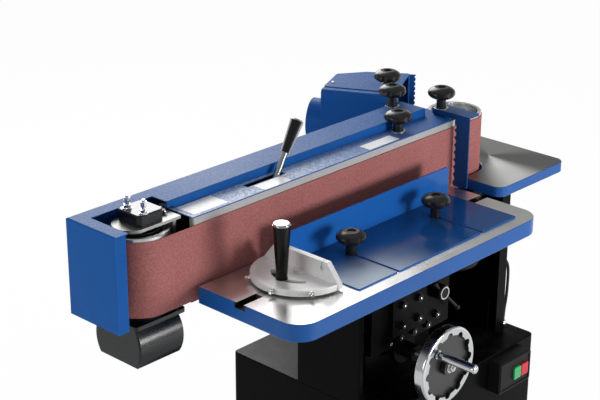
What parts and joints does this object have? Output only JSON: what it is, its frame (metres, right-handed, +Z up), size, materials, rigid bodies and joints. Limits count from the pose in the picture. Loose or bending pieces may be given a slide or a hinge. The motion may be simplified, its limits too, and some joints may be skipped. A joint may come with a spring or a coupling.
{
  "type": "oscillating belt sander",
  "caption": "Edge sander: upright belt on two drums over a sheet-steel base, with lifting main table, fence, mitre gauge, end table, dust hood and tilting head.",
  "frame": {"origin": "on the floor, at the middle of the four floor-bolt holes in the base", "axes": "+X along the belt towards the drive drum, -Y towards the operator, +Z up"},
  "size_m": [1.25, 0.6365, 1.1414],
  "materials": {
    "base_black": "gloss black paint",
    "blue_paint": "gloss blue paint with fine orange peel",
    "pale_blue": "gloss light blue paint",
    "cast_table": "machined and ground top, painted rim",
    "steel": "machined steel",
    "bright_metal": "polished, chromed",
    "cast_aluminium": "cast and turned",
    "belt_cloth": "coated abrasive, reddish brown",
    "graphite": "graphite canvas",
    "black_plastic": "moulded black",
    "grey_plastic": "moulded dark grey",
    "green_button": "moulded green",
    "red_button": "moulded red",
    "lead_rubber": "cable sheath"
  },
  "bodies": {
    "frame": {"base_cabinet": "base_black", "column": "base_black", "base_bolts": "bright_metal", "guide_post": "base_black", "rack": "steel", "switch_box": "grey_plastic", "cable_glands": "grey_plastic", "motor_lead": "lead_rubber", "pivot_shaft": "steel"},
    "start": {"start_button": "green_button"},
    "stop": {"stop_button": "red_button"},
    "head": {"head_beam": "steel", "platen": "steel", "graphite_pad": "graphite", "platen_cover": "pale_blue", "belt_guard": "blue_paint", "tilt_brackets": "base_black", "motor_plate": "base_black", "motor_housing": "cast_aluminium", "motor_fan_cover": "grey_plastic", "end_table": "cast_table", "end_table_bracket": "base_black", "work_stop": "blue_paint", "hood_body": "blue_paint", "hood_lid": "blue_paint"},
    "drive": {"drive_drum": "cast_aluminium", "motor_shaft": "steel"},
    "idler_slide": {"tension_yoke": "steel", "bearing_block": "base_black", "tracking_screws": "bright_metal", "gearbox_base": "base_black", "gearbox_cover": "base_black", "tension_rod": "steel"},
    "quill": {"bearing_quill": "steel"},
    "idler": {"idler_drum": "cast_aluminium", "idler_shaft": "steel"},
    "oscillator": {"oscillation_wheel": "steel"},
    "belt": {"sanding_belt": "belt_cloth"},
    "lever": {"tension_lever": "steel", "lever_grip": "black_plastic"},
    "table": {"table": "cast_table", "table_bracket": "base_black", "carriage": "base_black", "bracket_bolts": "bright_metal", "slot_nuts": "steel"},
    "wheel": {"handwheel": "bright_metal", "pinion_shaft": "steel"},
    "crank": {"crank_handle": "bright_metal"},
    "clamp": {"clamp_screw": "steel"},
    "fence": {"fence": "blue_paint"},
    "fence_knob_left": {"fence_knob_left": "black_plastic"},
    "fence_knob_right": {"fence_knob_right": "black_plastic"},
    "platen_knob": {"platen_knob": "black_plastic"},
    "guard_knob": {"guard_knob": "black_plastic"},
    "stop_knob": {"stop_knob": "black_plastic"},
    "lid_knob": {"lid_knob": "black_plastic"},
    "mitre_bar": {"mitre_bar": "steel"},
    "protractor": {"protractor": "cast_aluminium"},
    "mitre_handle": {"mitre_handle": "black_plastic"}
  },
  "joints": [
    {"name": "head_tilt", "type": "hinge", "parent": "frame", "child": "head", "pos_m": [-0.14, 0.008, 0.845], "axis": [-1, 0, 0], "range_deg": [0, 90]},
    {"name": "drive_spin", "type": "hinge", "parent": "head", "child": "drive", "pos_m": [0.13068, -0.0735, 0.94], "axis": [0, 0, 1], "continuous": true},
    {"name": "lever_turn", "type": "hinge", "parent": "head", "child": "lever", "pos_m": [-0.49, -0.091, 0.985], "axis": [0, 1, 0], "range_deg": [-60.2, 0]},
    {"name": "tension_slide", "type": "slide", "parent": "head", "child": "idler_slide", "axis": [1, 0, 0], "range_m": [0, 0.01]},
    {"name": "oscillation_lift", "type": "slide", "parent": "idler_slide", "child": "quill", "axis": [0, 0, 1], "range_m": [0, 0.006]},
    {"name": "idler_spin", "type": "hinge", "parent": "quill", "child": "idler", "pos_m": [-0.808, -0.0735, 0.94], "axis": [0, 0, 1], "continuous": true},
    {"name": "oscillator_spin", "type": "hinge", "parent": "idler_slide", "child": "oscillator", "pos_m": [-0.7795, -0.0735, 0.812], "axis": [0, 1, 0], "continuous": true},
    {"name": "belt_lift", "type": "slide", "parent": "head", "child": "belt", "axis": [0, 0, 1], "range_m": [0, 0.0061]},
    {"name": "table_lift", "type": "slide", "parent": "frame", "child": "table", "axis": [0, 0, 1], "range_m": [-0.02, 0.08]},
    {"name": "wheel_turn", "type": "hinge", "parent": "table", "child": "wheel", "pos_m": [-0.134, -0.285, 0.557], "axis": [0, 1, 0], "range_deg": [-64, 255]},
    {"name": "crank_spin", "type": "hinge", "parent": "wheel", "child": "crank", "pos_m": [-0.17214, -0.34, 0.59936], "axis": [0, 1, 0], "continuous": true},
    {"name": "clamp_turn", "type": "hinge", "parent": "table", "child": "clamp", "pos_m": [-0.036, -0.18, 0.667], "axis": [0, 1, 0], "range_deg": [-40, 45]},
    {"name": "fence_slide", "type": "slide", "parent": "table", "child": "fence", "axis": [0, 1, 0], "range_m": [0, 0.05]},
    {"name": "mitre_slide", "type": "slide", "parent": "table", "child": "mitre_bar", "axis": [1, 0, 0], "range_m": [-0.15, 0.012]},
    {"name": "gauge_swivel", "type": "hinge", "parent": "mitre_bar", "child": "protractor", "pos_m": [-0.566, -0.254, 0.91], "axis": [0, 0, 1], "range_deg": [-15, 45]},
    {"name": "handle_turn", "type": "hinge", "parent": "mitre_bar", "child": "mitre_handle", "pos_m": [-0.616, -0.254, 0.96], "axis": [0, 0, 1], "range_deg": [0, 180]},
    {"name": "start_press", "type": "slide", "parent": "frame", "child": "start", "axis": [0, 1, 0], "range_m": [0, 0.003], "stiffness_N_per_m": 600, "springref_m": -0.002},
    {"name": "stop_press", "type": "slide", "parent": "frame", "child": "stop", "axis": [0, 1, 0], "range_m": [0, 0.003], "stiffness_N_per_m": 600, "springref_m": -0.002},
    {"name": "fence_knob_left_turn", "type": "hinge", "parent": "table", "child": "fence_knob_left", "pos_m": [-0.421, -0.254, 0.93], "axis": [0, 0, 1], "range_deg": [0, 360]},
    {"name": "fence_knob_right_turn", "type": "hinge", "parent": "table", "child": "fence_knob_right", "pos_m": [-0.158, -0.254, 0.93], "axis": [0, 0, 1], "range_deg": [0, 360]},
    {"name": "platen_knob_turn", "type": "hinge", "parent": "head", "child": "platen_knob", "pos_m": [-0.093, -0.095, 1.06], "axis": [0, 0, 1], "range_deg": [0, 360]},
    {"name": "guard_knob_turn", "type": "hinge", "parent": "head", "child": "guard_knob", "pos_m": [-0.013, -0.011, 1.08], "axis": [0, 0, 1], "range_deg": [0, 360]},
    {"name": "stop_knob_turn", "type": "hinge", "parent": "head", "child": "stop_knob", "pos_m": [0.06, -0.09, 1.075], "axis": [0, 0, 1], "range_deg": [0, 360]},
    {"name": "lid_knob_turn", "type": "hinge", "parent": "head", "child": "lid_knob", "pos_m": [0.03, 0.04, 1.095], "axis": [0, 0, 1], "range_deg": [0, 360]}
  ],
  "couplings": [
    {"joint": "lever_turn", "follows": "tension_slide", "rad_per_m": -104.72},
    {"joint": "belt_lift", "follows": "oscillation_lift", "ratio": 1},
    {"joint": "idler_spin", "follows": "drive_spin", "ratio": 1},
    {"joint": "oscillator_spin", "follows": "drive_spin", "ratio": 0.041667},
    {"joint": "wheel_turn", "follows": "table_lift", "rad_per_m": 55.556}
  ]
}
